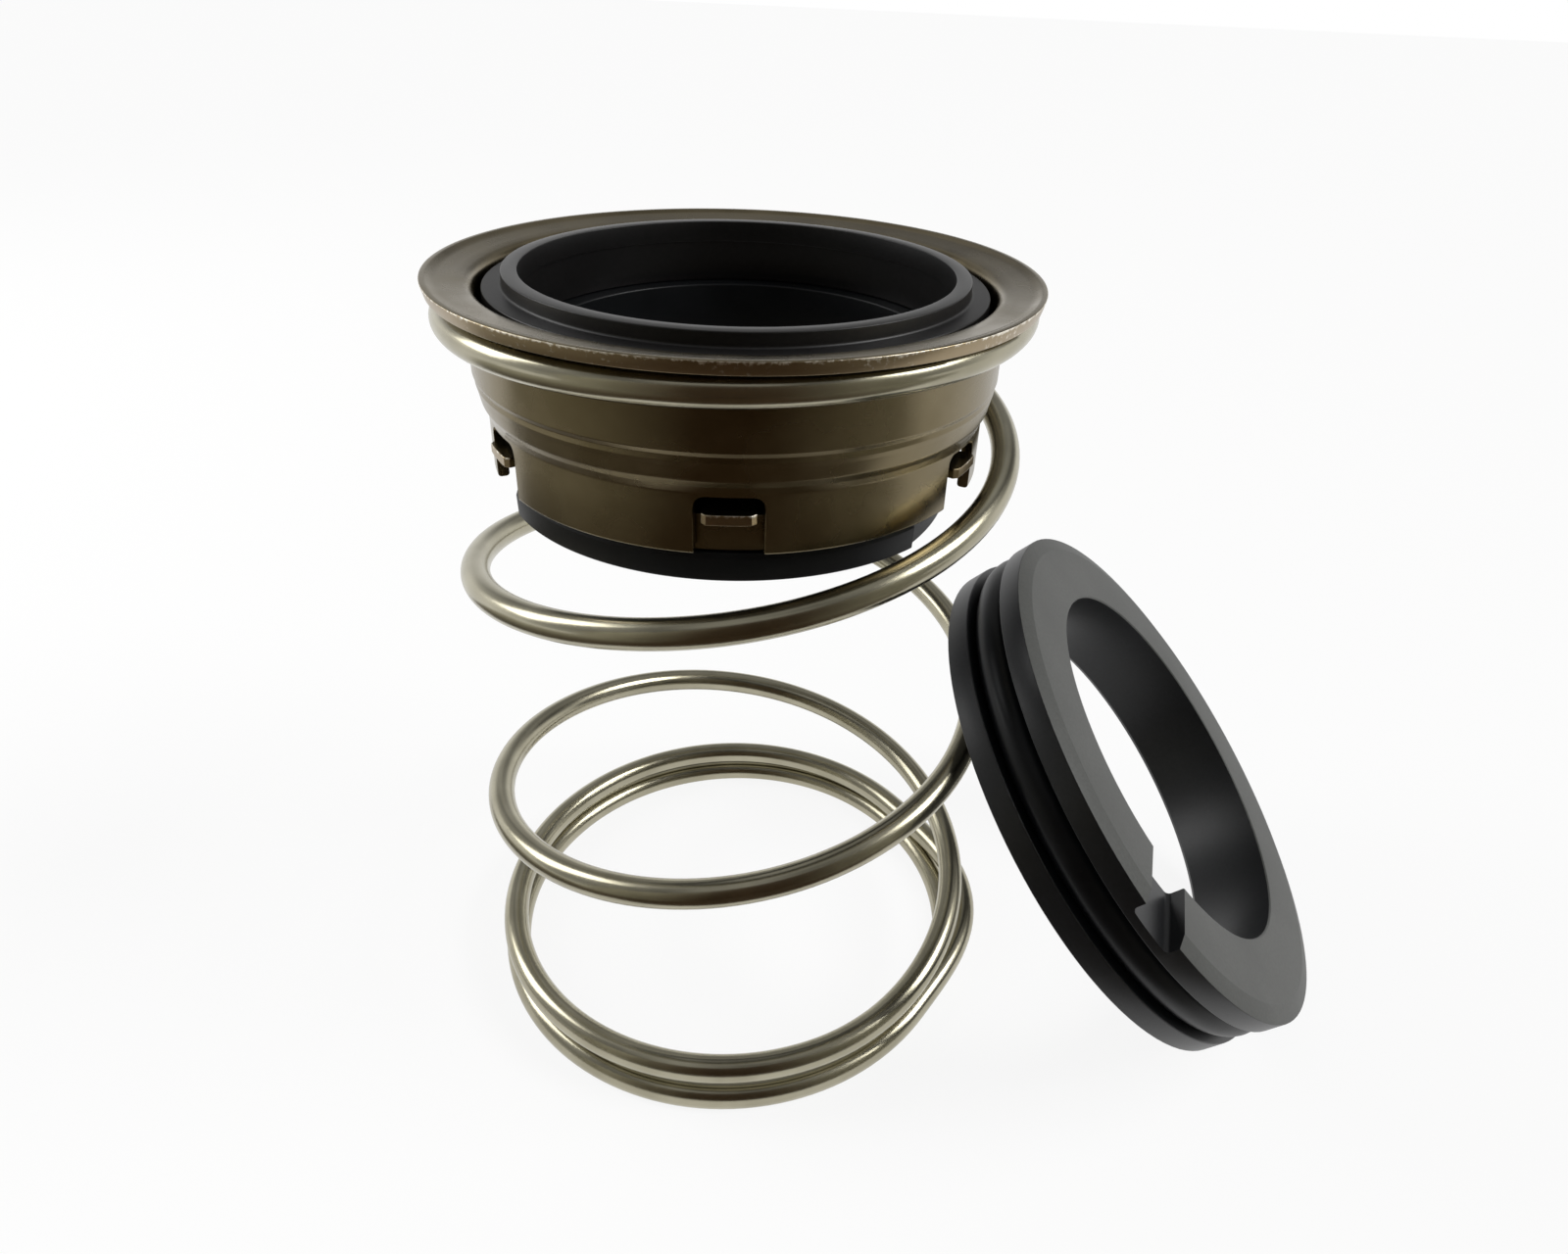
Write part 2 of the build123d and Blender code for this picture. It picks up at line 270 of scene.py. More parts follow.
def sector(name, section, half, steps, pull=None):
    """A closed arc of a turned piece about the X direction; pull(share) shortens its outermost corners."""
    outermost = max(p.x for p in section) - 0.01
    bm = bmesh.new()
    rings = []
    for k in range(steps + 1):
        share = 2 * k / steps - 1
        short = pull(share) if pull else 0.0
        loop = [at(p.x - (short if p.x > outermost else 0), half * share, p.y) for p in section]
        rings.append([bm.verts.new(p) for p in loop])
    for before, ring in zip(rings, rings[1:]):
        for j in range(len(ring)):
            bm.faces.new((before[j - 1], before[j], ring[j], ring[j - 1]))
    bm.faces.new(rings[0])
    bm.faces.new(rings[-1])
    return piece(bm, name, head_place())


def soften(made, width, angle=40):
    """Small rounded edges wherever faces meet at more than an angle."""
    bevel = made.modifiers.new("edge_rounding", "BEVEL")
    bevel.width = width * MM
    bevel.segments = 2
    bevel.limit_method = "ANGLE"
    bevel.angle_limit = math.radians(angle)
    bevel.harden_normals = True


def finish_piece(made, node, body, slot, *materials):
    """Materials and body of a piece that stands for a CAD node; its slot argument is not used."""
    made.data.materials.clear()
    for material in materials:
        made.data.materials.append(material)
    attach(made, body)
    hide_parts(node)


def paint(made, index, chosen):
    """Gives one of the piece's materials to the faces that a test picks by centre and normal."""
    for face in made.data.polygons:
        if chosen(face.center / MM, face.normal):
            face.material_index = index


def head_place():
    """Lifts a piece of the head, whose heights are measured from the rim, to its place."""
    return Matrix.Translation((0, 0, RIM_HEIGHT))


# ---------------------------------------------------------------- finishes


def linear(hex_value):
    """Linear RGBA from an sRGB hex value."""
    parts = [int(hex_value[i : i + 2], 16) / 255 for i in (1, 3, 5)]
    return [c / 12.92 if c <= 0.04045 else ((c + 0.055) / 1.055) ** 2.4 for c in parts] + [1.0]


def fill(tree, node, inputs):
    """Fills a node's inputs with values or links."""
    for key, value in inputs.items():
        if isinstance(value, bpy.types.NodeSocket):
            tree.links.new(value, node.inputs[key])
        else:
            node.inputs[key].default_value = value


def add(tree, kind, inputs=None, **settings):
    """Adds a node with its settings, and fills its inputs."""
    made = tree.nodes.new(kind)
    for name, value in settings.items():
        setattr(made, name, value)
    fill(tree, made, inputs or {})
    return made


def surface(name):
    """A new material: its tree, its shader and the piece's coordinates."""
    material = bpy.data.materials.new(name)
    material.use_nodes = True
    tree = material.node_tree
    shader = tree.nodes["Principled BSDF"]
    where = add(tree, "ShaderNodeTexCoord").outputs["Object"]
    return material, tree, shader, where


def per_mm(size):
    """Noise scale, in metres, for a pattern that repeats about every so many millimetres."""
    return 1 / (size * MM)


def dress(tree, shader, share, dark, light, rough, height, strength, depth, **rest):
    """Dresses a shader: a tone between two colours, a roughness, and a relief some millimetres deep."""
    tones = {"Factor": share, "A": linear(dark), "B": linear(light)}
    tone = add(tree, "ShaderNodeMix", tones, data_type="RGBA").outputs["Result"]
    relief = {"Height": height, "Strength": strength, "Distance": depth * MM}
    bump = add(tree, "ShaderNodeBump", relief).outputs[0]
    fill(tree, shader, {"Base Color": tone, "Roughness": rough, "Normal": bump, **rest})


def drawn_sheet(colours):
    """Deep-drawn stainless sheet: satin, faintly clouded, with fine draw lines round it."""
    material, tree, shader, where = surface("deep_drawn_stainless_sheet")
    cloudy = {"Vector": where, "Scale": per_mm(7), "Detail": 3.0, "Roughness": 0.55}
    clouds = add(tree, "ShaderNodeTexNoise", cloudy).outputs["Fac"]
    # the draw lines run round the piece; real ones are finer, and these are 0.35 mm apart so that they show
    flat = add(tree, "ShaderNodeMapping", {"Vector": where, "Scale": (0.04, 0.04, 1.0)}).outputs[0]
    lines = add(tree, "ShaderNodeTexNoise", {"Vector": flat, "Scale": per_mm(0.35), "Detail": 4.0})
    grain = add(tree, "ShaderNodeTexNoise", {"Vector": where, "Scale": per_mm(0.5), "Detail": 2.0})
    both = add(tree, "ShaderNodeMath", {0: lines.outputs["Fac"], 1: grain.outputs["Fac"]}, operation="ADD")
    patchy = {"Value": clouds, "From Min": 0.3, "From Max": 0.7, "To Min": 0.2, "To Max": 0.34}
    rough = add(tree, "ShaderNodeMapRange", patchy).outputs[0]
    tones = (clouds, colours.shell_dark, colours.shell)
    dress(tree, shader, *tones, rough, both.outputs[0], 0.12, 0.02, Metallic=1.0)
    return material


def sheared_edge_painted_highlight(name, colours, top):
    """Sheared edge of stainless sheet: brown satin metal with bright specks of burnish, and more of them
    along its upper edge as a painted highlight.
    """
    material, tree, shader, where = surface(name)
    speckled = {"Vector": where, "Scale": per_mm(0.45), "Detail": 4.0, "Roughness": 0.65}
    specks = add(tree, "ShaderNodeTexNoise", speckled).outputs["Fac"]
    stretches = add(tree, "ShaderNodeTexNoise", {"Vector": where, "Scale": per_mm(9), "Detail": 1.0})
    # the painted highlight is the upper 0.3 mm, brighter along some stretches than others
    height = add(tree, "ShaderNodeSeparateXYZ", {0: where}).outputs[2]
    lower, upper = top - 0.34 * MM, top - 0.1 * MM
    highlight_rise = {"Value": height, "From Min": lower, "From Max": upper, "To Min": 0.0, "To Max": 0.2}
    band = add(tree, "ShaderNodeMapRange", highlight_rise).outputs[0]
    level = add(tree, "ShaderNodeMath", {0: specks, 1: band}, operation="ADD").outputs[0]
    uneven = {0: stretches.outputs["Fac"], 1: 0.35, 2: level}
    spread = add(tree, "ShaderNodeMath", uneven, operation="MULTIPLY_ADD").outputs[0]
    bright = add(tree, "ShaderNodeMapRange", {"Value": spread, "From Min": 0.8, "From Max": 0.95}).outputs[0]
    rough = add(tree, "ShaderNodeMapRange", {"Value": bright, "To Min": 0.3, "To Max": 0.42}).outputs[0]
    dress(tree, shader, bright, colours.sheared, colours.burnished, rough, specks, 0.3, 0.04, Metallic=1.0)
    return material


def drawn_wire(colours):
    """Drawn stainless spring wire: bright, with fine lines that run along it."""
    material, tree, shader, where = surface("drawn_stainless_wire")
    along = add(tree, "ShaderNodeAttribute", attribute_name="along_wire").outputs["Vector"]
    # the attribute has one unit for 50 mm of wire and for 0.4 mm round it: lines 8 mm long, 0.07 mm apart
    drawn = {"Vector": along, "Scale": 6.0, "Detail": 4.0, "Roughness": 0.6}
    lines = add(tree, "ShaderNodeTexNoise", drawn).outputs["Fac"]
    clouds = add(tree, "ShaderNodeTexNoise", {"Vector": where, "Scale": per_mm(5), "Detail": 2.0})
    rough = add(tree, "ShaderNodeMapRange", {"Value": lines, "To Min": 0.16, "To Max": 0.3}).outputs[0]
    tones = (clouds.outputs["Fac"], colours.wire_dark, colours.wire)
    dress(tree, shader, *tones, rough, lines, 0.05, 0.01, Metallic=1.0)
    return material


def carbide(name, dark, light, grain, rough, bumpiness):
    """Sintered silicon carbide: fine crystal grain, satin where fired, matt where ground."""
    material, tree, shader, where = surface(name)
    grainy = {"Vector": where, "Scale": per_mm(grain), "Detail": 6.0}
    crystals = add(tree, "ShaderNodeTexNoise", grainy).outputs["Fac"]
    clouds = add(tree, "ShaderNodeTexNoise", {"Vector": where, "Scale": per_mm(9), "Detail": 2.0})
    blend = add(tree, "ShaderNodeMath", {0: crystals, 1: clouds.outputs["Fac"]}, operation="MULTIPLY")
    span = {"Value": blend.outputs[0], "From Min": 0.12, "From Max": 0.4}
    share = add(tree, "ShaderNodeMapRange", span).outputs[0]
    shine = {"IOR": 1.6, "Specular IOR Level": 0.3}  # fine pores dull it
    dress(tree, shader, share, dark, light, rough, crystals, bumpiness, 0.02, **shine)
    return material


def rubber(name, tone_hex, bloom_hex, rough):
    """Moulded black rubber: near black, satin, with a faint mould texture and a faint bloom."""
    material, tree, shader, where = surface(name)
    texture = add(tree, "ShaderNodeTexNoise", {"Vector": where, "Scale": per_mm(0.6), "Detail": 4.0})
    blooming = {"Vector": where, "Scale": per_mm(6), "Detail": 2.0}
    bloom = add(tree, "ShaderNodeTexNoise", blooming).outputs["Fac"]
    patchy = {"Value": bloom, "To Min": rough - 0.06, "To Max": rough + 0.08}
    uneven = add(tree, "ShaderNodeMapRange", patchy).outputs[0]
    shine = {"IOR": 1.52, "Specular IOR Level": 0.2}  # the bloom dulls it
    dress(tree, shader, bloom, tone_hex, bloom_hex, uneven, texture.outputs["Fac"], 0.2, 0.02, **shine)
    return material


# ---------------------------------------------------------------- geometry nodes


def node_tree(name, sockets):
    """A geometry tree with named inputs (name, kind) and one geometry output."""
    tree = bpy.data.node_groups.new(name, "GeometryNodeTree")
    tree.is_modifier = True
    for label, kind in sockets:
        tree.interface.new_socket(label, in_out="INPUT", socket_type=kind)
    tree.interface.new_socket("Geometry", in_out="OUTPUT", socket_type="NodeSocketGeometry")
    return tree


def end_tree(tree, geometry, material):
    """Ends a tree: makes its instances real and gives them their material."""
    real = add(tree, "GeometryNodeRealizeInstances", {"Geometry": geometry}).outputs[0]
    dressed = add(tree, "GeometryNodeSetMaterial", {"Geometry": real, "Material": material}).outputs[0]
    add(tree, "NodeGroupOutput", {0: dressed})
    return tree


def run_tree(tree, host, values, name):
    """Runs a tree on an object and gives back the plain mesh that it makes."""
    modifier = host.modifiers.new(tree.name, "NODES")
    modifier.node_group = tree
    identifiers = {s.name: s.identifier for s in tree.interface.items_tree if s.in_out == "INPUT"}
    for label, value in values.items():
        modifier[identifiers[label]] = value
    bpy.context.view_layer.update()
    depsgraph = bpy.context.evaluated_depsgraph_get()
    mesh = bpy.data.meshes.new_from_object(host.evaluated_get(depsgraph), depsgraph=depsgraph)
    host.modifiers.remove(modifier)
    bpy.data.objects.remove(host)
    if not mesh.polygons:
        raise RuntimeError(f"{name} has no faces")
    mesh.name = name
    made = bpy.data.objects.new(name, mesh)
    bpy.context.scene.collection.objects.link(made)
    return made


# the spring from its upper end down: each stretch's angle, and its pitch at the start and the end
STRETCHES = [
    ("Upper Arc", "Upper Pitch", "Upper Pitch"),
    ("Ease Arc", "Upper Pitch", "Wide Pitch"),
    ("Open Arc", "Wide Pitch", "Narrow Pitch"),
    ("Ease Arc", "Narrow Pitch", "Lower Pitch"),
    ("Lower Arc", "Lower Pitch", "Lower Pitch"),
    ("Step Arc", "Lower Pitch", "Step Pitch"),
    ("Half Step Arc", "Step Pitch", "Step Pitch"),
    ("Half Step Arc", "Step Pitch", "Foot Pitch"),
    ("Foot Arc", "Foot Pitch", "Foot Pitch"),
]


def spring_tree(labels):
    """Wire wound down a coil, ground flat at both ends.

    The pitch changes by stretches, and near the foot the wire swings out past its own lower end.
    """
    sockets = [(label, "NodeSocketInt" if label == "Sides" else "NodeSocketFloat") for label in labels]
    tree = node_tree("ground_coil_spring", sockets + [("Material", "NodeSocketMaterial")])
    known = {socket.name: socket for socket in add(tree, "NodeGroupInput").outputs if socket.name}
    known["index"] = add(tree, "GeometryNodeInputIndex").outputs[0]

    # each sum: its name, the operation, and the named sums, inputs or numbers that it takes
    sums = [("wound", "MULTIPLY", "index", "Step")]
    start, drop = 0.0, 0.0
    for i, (arc, pitch_from, pitch_to) in enumerate(STRETCHES):
        if arc == "Step Arc":
            step_down = start
        sums += [
            (f"past {i}", "SUBTRACT", "wound", start),
            (f"begun {i}", "MAXIMUM", f"past {i}", 0.0),
            (f"inside {i}", "MINIMUM", f"begun {i}", arc),
            (f"gain {i}", "SUBTRACT", pitch_to, pitch_from),
            (f"twice {i}", "MULTIPLY", arc, 2.0),
            (f"change {i}", "DIVIDE", f"gain {i}", f"twice {i}"),
            (f"pitch {i}", "MULTIPLY_ADD", f"change {i}", f"inside {i}", pitch_from),
            (f"fall {i}", "MULTIPLY", f"pitch {i}", f"inside {i}"),
            (f"drop {i}", "MULTIPLY_ADD", f"fall {i}", 1 / math.tau, drop),
            (f"end {i}", "ADD", start, arc),
        ]
        start, drop = f"end {i}", f"drop {i}"
    sums += [
        ("steps", "DIVIDE", start, "Step"),
        ("whole steps", "ROUND", "steps"),
        ("points", "ADD", "whole steps", 1.0),
        ("direction", "SUBTRACT", "Upper Tip", "wound"),
        ("top", "MULTIPLY_ADD", "Wire", 0.25, "Height"),
        ("height", "SUBTRACT", "top", drop),
        ("past step", "SUBTRACT", "wound", step_down),
        ("past start", "SUBTRACT", "past step", "Swing Start"),
        ("along swing", "DIVIDE", "past start", "Swing Arc"),
        ("begun swing", "MAXIMUM", "along swing", 0.0),
        ("share", "MINIMUM", "begun swing", 1.0),
        ("half turn", "MULTIPLY", "share", math.pi),
        ("wave", "SINE", "half turn"),
        ("swing", "POWER", "wave", 2.0),
        ("radius", "MULTIPLY_ADD", "Swing", "swing", "Coil Radius"),
        ("cosine", "COSINE", "direction"),
        ("sine", "SINE", "direction"),
        ("x", "MULTIPLY", "radius", "cosine"),
        ("y", "MULTIPLY", "radius", "sine"),
        ("length", "MULTIPLY", "wound", "Coil Radius"),
        ("run", "MULTIPLY", "length", 20.0),  # one unit for each 50 mm of wire
        ("wire radius", "MULTIPLY", "Wire", 0.5),
    ]
    here = add(tree, "GeometryNodeInputPosition").outputs[0]
    spread = add(tree, "ShaderNodeSeparateXYZ", {0: here})
    known["z"] = spread.outputs[2]
    sums += [("above bench", "MAXIMUM", "z", 0.0), ("ground", "MINIMUM", "above bench", "Height")]
    for name, operation, *values in sums:
        taken = {i: known.get(value, value) for i, value in enumerate(values)}
        known[name] = add(tree, "ShaderNodeMath", taken, operation=operation).outputs[0]

    spot = add(tree, "ShaderNodeCombineXYZ", {0: known["x"], 1: known["y"], 2: known["height"]})
    line = add(tree, "GeometryNodeMeshLine", {"Count": known["points"]})
    placed = add(tree, "GeometryNodeSetPosition", {"Geometry": line.outputs[0], "Position": spot.outputs[0]})
    path = add(tree, "GeometryNodeMeshToCurve", {"Mesh": placed.outputs[0]})
    upright = add(tree, "GeometryNodeSetCurveNormal", {"Curve": path.outputs[0]}, mode="Z_UP")
    outline = {"Resolution": known["Sides"], "Radius": known["wire radius"]}
    ring = add(tree, "GeometryNodeCurvePrimitiveCircle", outline)
    # one unit for each 0.4 mm round the wire
    around = add(tree, "ShaderNodeVectorMath", {0: here, 1: (2500.0, 2500.0, 2500.0)}, operation="MULTIPLY")
    lengthwise = add(tree, "ShaderNodeCombineXYZ", {2: known["run"]})
    vectors = {"data_type": "FLOAT_VECTOR", "domain": "POINT"}
    run = {"Geometry": upright.outputs[0], "Name": "run", "Value": lengthwise.outputs[0]}
    sweep_line = add(tree, "GeometryNodeStoreNamedAttribute", run, **vectors)
    turned_by = {"Geometry": ring.outputs["Curve"], "Name": "round", "Value": around.outputs[0]}
    sweep_ring = add(tree, "GeometryNodeStoreNamedAttribute", turned_by, **vectors)
    swept = {"Curve": sweep_line.outputs[0], "Profile Curve": sweep_ring.outputs[0], "Fill Caps": True}
    wire = add(tree, "GeometryNodeCurveToMesh", swept)
    stored = [
        add(tree, "GeometryNodeInputNamedAttribute", {"Name": name}, data_type="FLOAT_VECTOR").outputs[0]
        for name in ("run", "round")
    ]
    lines = add(tree, "ShaderNodeVectorMath", dict(enumerate(stored)), operation="ADD")
    along = {"Geometry": wire.outputs[0], "Name": "along_wire", "Value": lines.outputs[0]}
    marked = add(tree, "GeometryNodeStoreNamedAttribute", along, **vectors)
    flat = add(tree, "ShaderNodeCombineXYZ", {0: spread.outputs[0], 1: spread.outputs[1], 2: known["ground"]})
    cut = add(tree, "GeometryNodeSetPosition", {"Geometry": marked.outputs[0], "Position": flat.outputs[0]})
    return end_tree(tree, cut.outputs[0], known["Material"])


def copies_tree():
    """Copies of one part spread evenly round the axis and joined to the piece that carries them."""
    sockets = [
        ("Geometry", "NodeSocketGeometry"),
        ("Part", "NodeSocketObject"),
        ("Count", "NodeSocketInt"),
        ("First", "NodeSocketFloat"),
        ("Material", "NodeSocketMaterial"),
    ]
    tree = node_tree("copies_round_the_axis", sockets)
    given = add(tree, "NodeGroupInput").outputs
    step = add(tree, "ShaderNodeMath", {0: math.tau, 1: given["Count"]}, operation="DIVIDE").outputs[0]
    index = add(tree, "GeometryNodeInputIndex").outputs[0]
    turned_by = {0: index, 1: step, 2: given["First"]}
    spin = add(tree, "ShaderNodeMath", turned_by, operation="MULTIPLY_ADD").outputs[0]
    upright = add(tree, "ShaderNodeCombineXYZ", {2: spin})
    points = add(tree, "GeometryNodePoints", {"Count": given["Count"]})
    part = add(tree, "GeometryNodeObjectInfo", {"Object": given["Part"]}).outputs["Geometry"]
    placed = {"Points": points.outputs[0], "Instance": part, "Rotation": upright.outputs[0]}
    copies = add(tree, "GeometryNodeInstanceOnPoints", placed)
    joined = add(tree, "GeometryNodeJoinGeometry", {0: given["Geometry"]})
    fill(tree, joined, {0: copies.outputs[0]})
    return end_tree(tree, joined.outputs[0], given["Material"])


# ---------------------------------------------------------------- pieces


class SEAL_OT_retainer_shell(bpy.types.Operator):
    """Make the drawn steel shell with its flange, neck, ridge and slotted skirt"""

    bl_idname = "seal.retainer_shell"
    bl_label = "Retainer Shell"

    def execute(self, context):
        size = context.scene.shaft_seal.head
        rim, neck, skirt = size.rim_radius / MM, size.neck_radius / MM, size.skirt_radius / MM
        end, top, bend = -size.skirt_drop / MM, -size.slot_top / MM, size.slot_round / MM
        shoulder = top - bend
        corners = [
            (rim, 0, 0.1),
            (rim - 0.32, -1.17, 0.14),
            (25.6, -1.41, 0.3),
            (neck, -1.41, 0.15),
            (24.04, -8.25, 0.3),
            (23.82, -8.7, 0.2),
            (23.86, -9.15, 0.25),
            (23.74, -9.6, 0.3),
            (23.5, -10.8, 1.2),
            (23.2, -11.4, 0.7),
            (skirt + 0.08, -12.1, 0.8),
            (skirt + 0.06, shoulder, 0),
            (skirt, end, 0.3),
            (skirt - 1.0, end, 0.3),
            (skirt - 0.93, shoulder, 0),
            (skirt - 0.9, -12.25, 0.4),
            (22.3, -11.6, 0.5),
            (22.78, -10.7, 0.5),
            (22.98, -9.5, 0.3),
            (23.12, -8.4, 0.3),
            (23.22, -0.75, 1.5),
            (24.95, -0.52, 1.6),
            (26.4, -0.3, 3.0),
            (27.0, 0.0, 0.5),
        ]
        section = rounded(corners)
        outer, inner = [i for i, p in enumerate(section) if abs(p.y - shoulder) < 1e-4]
        upper = list(range(inner, len(section))) + list(range(outer + 1))
        lower = list(range(outer, inner + 1))

        # columns of one sector: through the slot, then across the skirt to the next one
        wide = size.slot_width / MM / 2
        half = math.asin(wide / skirt)
        flat = math.asin((wide - bend) / skirt)
        pitch = math.tau / size.slot_count
        arch = []
        for k in range(7):
            a = k * math.pi / 12
            arch.append((math.asin((wide - bend + bend * math.sin(a)) / skirt), bend * (1 - math.cos(a))))
        slot = [(-a, d) for a, d in reversed(arch)] + [(flat * k / 3, 0.0) for k in (-2, -1, 0, 1, 2)] + arch
        across = [(half + (pitch - 2 * half) * k / 32, bend) for k in range(1, 32)]

        bm = bmesh.new()
        columns = []
        for number in range(size.slot_count):
            middle = size.first_slot + number * pitch
            for offset, drop in slot + across:
                raised = bend - drop if offset <= half + 1e-9 else 0.0
                loop = {}
                for i in dict.fromkeys(upper + lower):
                    p = section[i]
                    lift = raised if i in (outer, inner) else 0.0
                    loop[i] = bm.verts.new(at(p.x, middle + offset, p.y + lift))
                columns.append((loop, abs(offset) < half - 1e-9, abs(abs(offset) - half) < 1e-9))
        for k, (loop, open_here, side) in enumerate(columns):
            before, open_before, _ = columns[k - 1]
            for a, b in zip(upper, upper[1:]):
                bm.faces.new((before[a], before[b], loop[b], loop[a]))
            if open_here or open_before:
                bm.faces.new((before[outer], loop[outer], loop[inner], before[inner]))
            else:
                for a, b in zip(lower, lower[1:]):
                    bm.faces.new((before[a], before[b], loop[b], loop[a]))
            if side:
                bm.faces.new([loop[i] for i in lower])
        loose = [v for v in bm.verts if not v.link_faces]
        bmesh.ops.delete(bm, geom=loose, context="VERTS")
        made = piece(bm, "retainer_shell_sheet", head_place())
        colours = context.scene.shaft_seal.colours
        # the rim's sheared edge carries a painted highlight along its top
        edge = sheared_edge_painted_highlight("sheared_stainless_rim_painted_highlight", colours, RIM_HEIGHT)
        finish_piece(made, "retainer_shell", "head", "sheet_steel", drawn_sheet(colours), edge)
        inmost, lowest = rim - 0.36, RIM_HEIGHT / MM - 1.16
        paint(made, 1, lambda c, n: math.hypot(c.x, c.y) > inmost and c.z > lowest and abs(n.z) < 0.6)
        soften(made, 0.12)
        return {"FINISHED"}


class SEAL_OT_face_ring(bpy.types.Operator):
    """Make the dark face ring with its lapped nose"""

    bl_idname = "seal.face_ring"
    bl_label = "Rotary Face Ring"

    def execute(self, context):
        size = context.scene.shaft_seal.head
        bore, nose, shoulder = size.face_bore / MM, size.nose_radius / MM, size.shoulder_radius / MM
        section = rounded(
            [
                (bore, 0.1, 0.08),
                (nose, 0.1, 0.1),
                (nose, -1.2, 0.25),
                (shoulder, -1.2, 0.15),
                (shoulder, -10.4, 0.2),
                (shoulder - 0.45, -11.1, 0.1),
                (21.05, -11.1, 0.1),
                (21.05, -6.1, 0.2),
                (bore + 0.12, -6.1, 0.1),
                (bore + 0.12, -1.95, 0.04),
                (bore, -1.95, 0.04),
            ]
        )
        made = turned("rotary_face_ring_carbide", section, even_angles(288), head_place())
        colours = context.scene.shaft_seal.colours
        tones = (colours.face_ring_dark, colours.face_ring)
        body = carbide("dark_sintered_silicon_carbide", *tones, 0.4, 0.42, 0.25)
        lapped = carbide("lapped_silicon_carbide_nose", colours.nose_dark, colours.nose, 0.25, 0.3, 0.05)
        finish_piece(made, "rotary_face_ring", "head", "face_ring", body, lapped)
        paint(made, 1, lambda c, n: n.z > 0.7 and c.z > RIM_HEIGHT / MM - 0.1)
        return {"FINISHED"}


class SEAL_OT_drive_ring(bpy.types.Operator):
    """Make the drive ring: a band with two turned-out feet and a bent tab for each slot of the skirt"""

    bl_idname = "seal.drive_ring"
    bl_label = "Drive Ring"

    def execute(self, context):
        size = context.scene.shaft_seal.head
        outer, strip, reach = size.band_radius / MM, size.strip / MM, size.tab_reach / MM
        inner = outer - strip
        top, half = -13.66, size.tab_arc / 2
        lower, upper = -17.6, -15.4
        corners = [(inner, lower, 0.1), (outer, lower, 0.1), (outer, upper, 0.1), (inner, upper, 0.1)]
        band = rounded(corners, 2)
        made = turned("drive_ring_steel", band, even_angles(192), head_place())

        # the lower edge of the band is turned out over the boot's tail, and stands up behind the skirt
        foot = size.foot_reach / MM
        turned_out = rounded(
            [
                (inner + 0.4, lower, 0),
                (foot, lower, 0.08),
                (foot, -14.4, 0.25),
                (inner + 0.4, -14.4, 0),
            ]
        )
        # a tab is a bent strip; its outer corners are rounded where it ends
        bent = rounded(
            [
                (inner, -16.0, 0),
                (inner, top, 0.9),
                (reach, top, 0),
                (reach, top - strip, 0),
                (outer, top - strip, 0.25),
                (outer, -16.0, 0),
            ],
            8,
        )

        def end_round(share):
            edge = max(0.0, abs(share) - 0.86) / 0.14
            return 0.35 * (1 - math.sqrt(max(0.0, 1 - edge * edge)))

        colours = context.scene.shaft_seal.colours
        sheet = drawn_sheet(colours)
        tree = copies_tree()
        for part, count, first in (
            (sector("drive_foot", turned_out, size.foot_span / 2, 48), 2, size.front_foot),
            (sector("drive_tab", bent, half, 10, end_round), size.slot_count, size.first_slot),
        ):
            soften(part, 0.1)
            values = {"Part": part, "Count": count, "First": first, "Material": sheet}
            made = run_tree(tree, made, values, "drive_ring_pressed")
            bpy.data.objects.remove(part)
        # the tab ends carry a painted highlight along their top
        edge = sheared_edge_painted_highlight("sheared_stainless_tab_end_painted_highlight", colours, RIM_HEIGHT + top * MM)
        finish_piece(made, "drive_ring", "drive", "drive_steel", sheet, edge)
        paint(made, 1, lambda c, n: math.hypot(c.x, c.y) > reach - 0.4 and abs(n.z) < 0.5)
        return {"FINISHED"}


class SEAL_OT_boot(bpy.types.Operator):
    """Make the rubber boot with its fold and its tail, flattened on two sides"""

    bl_idname = "seal.boot"
    bl_label = "Rubber Boot"

    def execute(self, context):
        size = context.scene.shaft_seal.head
        shaft, tail = size.shaft_radius / MM, size.tail_radius / MM
        section = rounded(
            [
                (shaft + 0.4, -6.15, 0.2),
                (20.9, -6.15, 0.2),
                (20.9, -10.9, 0.1),
                (19.1, -11.1, 0.1),
                (20.6, -12.1, 0.5),
                (19.1, -13.16, 0.3),
                (19.1, -17.7, 0.05),
                (tail - 0.15, -17.7, 0.12),
                (tail, -18.2, 0.3),
                (tail - 0.1, -20.3, 0.25),
                (shaft, -20.3, 0.3),
                (shaft, -14.6, 0.3),
                (19.2, -12.1, 0.6),
                (shaft + 0.4, -10.9, 0.3),
            ]
        )
        # the tail's flattened sides: their directions, and the radius, offset and half angle of their arcs
        sides = [math.radians(-10.0), math.radians(-189.0)]
        reach, shift, half = 27.5, 7.2, math.radians(37)
        tail_top = -17.6
        ends = [sign * (half + slip) for sign in (-1, 1) for slip in (-0.0003, 0.0003)]
        edges = [side + end for side in sides for end in ends]
        bm = bmesh.new()
        loops = []
        for angle in even_angles(256, edges):
            limit = math.inf
            for side in sides:
                off = (angle - side + math.pi) % math.tau - math.pi
                if abs(off) < half:
                    limit = math.sqrt(reach**2 - (shift * math.sin(off)) ** 2) - shift * math.cos(off)
            loops.append([at(min(p.x, limit) if p.y < tail_top else p.x, angle, p.y) for p in section])
        skin(bm, loops)
        made = piece(bm, "rubber_boot_moulded", head_place(), 35)
        colours = context.scene.shaft_seal.colours
        nitrile = rubber("moulded_nitrile_boot", colours.boot, colours.bloom, 0.42)
        finish_piece(made, "rubber_boot", "head", "boot_rubber", nitrile)
        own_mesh(made)
        return {"FINISHED"}


